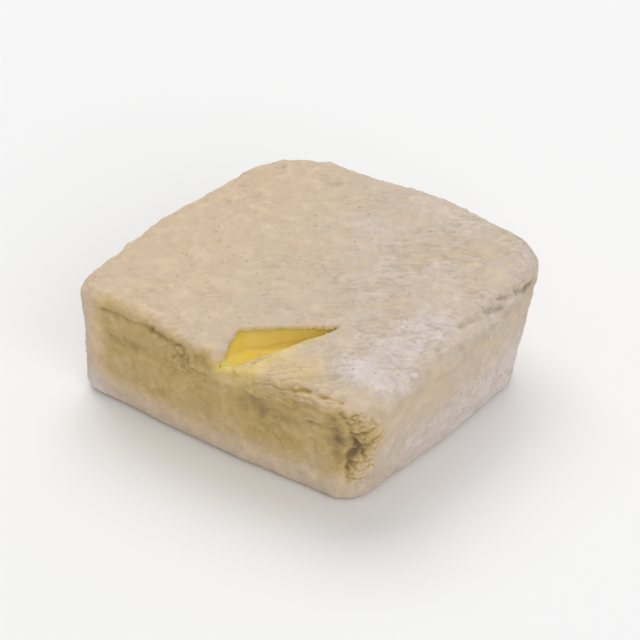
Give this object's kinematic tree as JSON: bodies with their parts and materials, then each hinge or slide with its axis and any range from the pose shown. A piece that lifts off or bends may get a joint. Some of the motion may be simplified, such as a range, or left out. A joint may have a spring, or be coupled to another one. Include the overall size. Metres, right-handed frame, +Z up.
{
  "type": "turkish delight cube",
  "caption": "Low, hand-cut square block of soft fruit jelly, dusted all over with starch and icing sugar, with a knife nick in its top.",
  "frame": {"origin": "on the table, under the middle of the block's box", "axes": "+Z up, +X along the longer side, +Y along the shorter side; the nick opens over the -Y rim"},
  "size_m": [0.03, 0.0282, 0.0119],
  "materials": {
    "coat": "dull, dry coat of starch and icing sugar over pale lemon jelly",
    "jelly": "moist, translucent lemon-yellow starch jelly that shows in the nick"
  },
  "bodies": {
    "root": {"turkish_delight": "coat"}
  },
  "joints": []
}
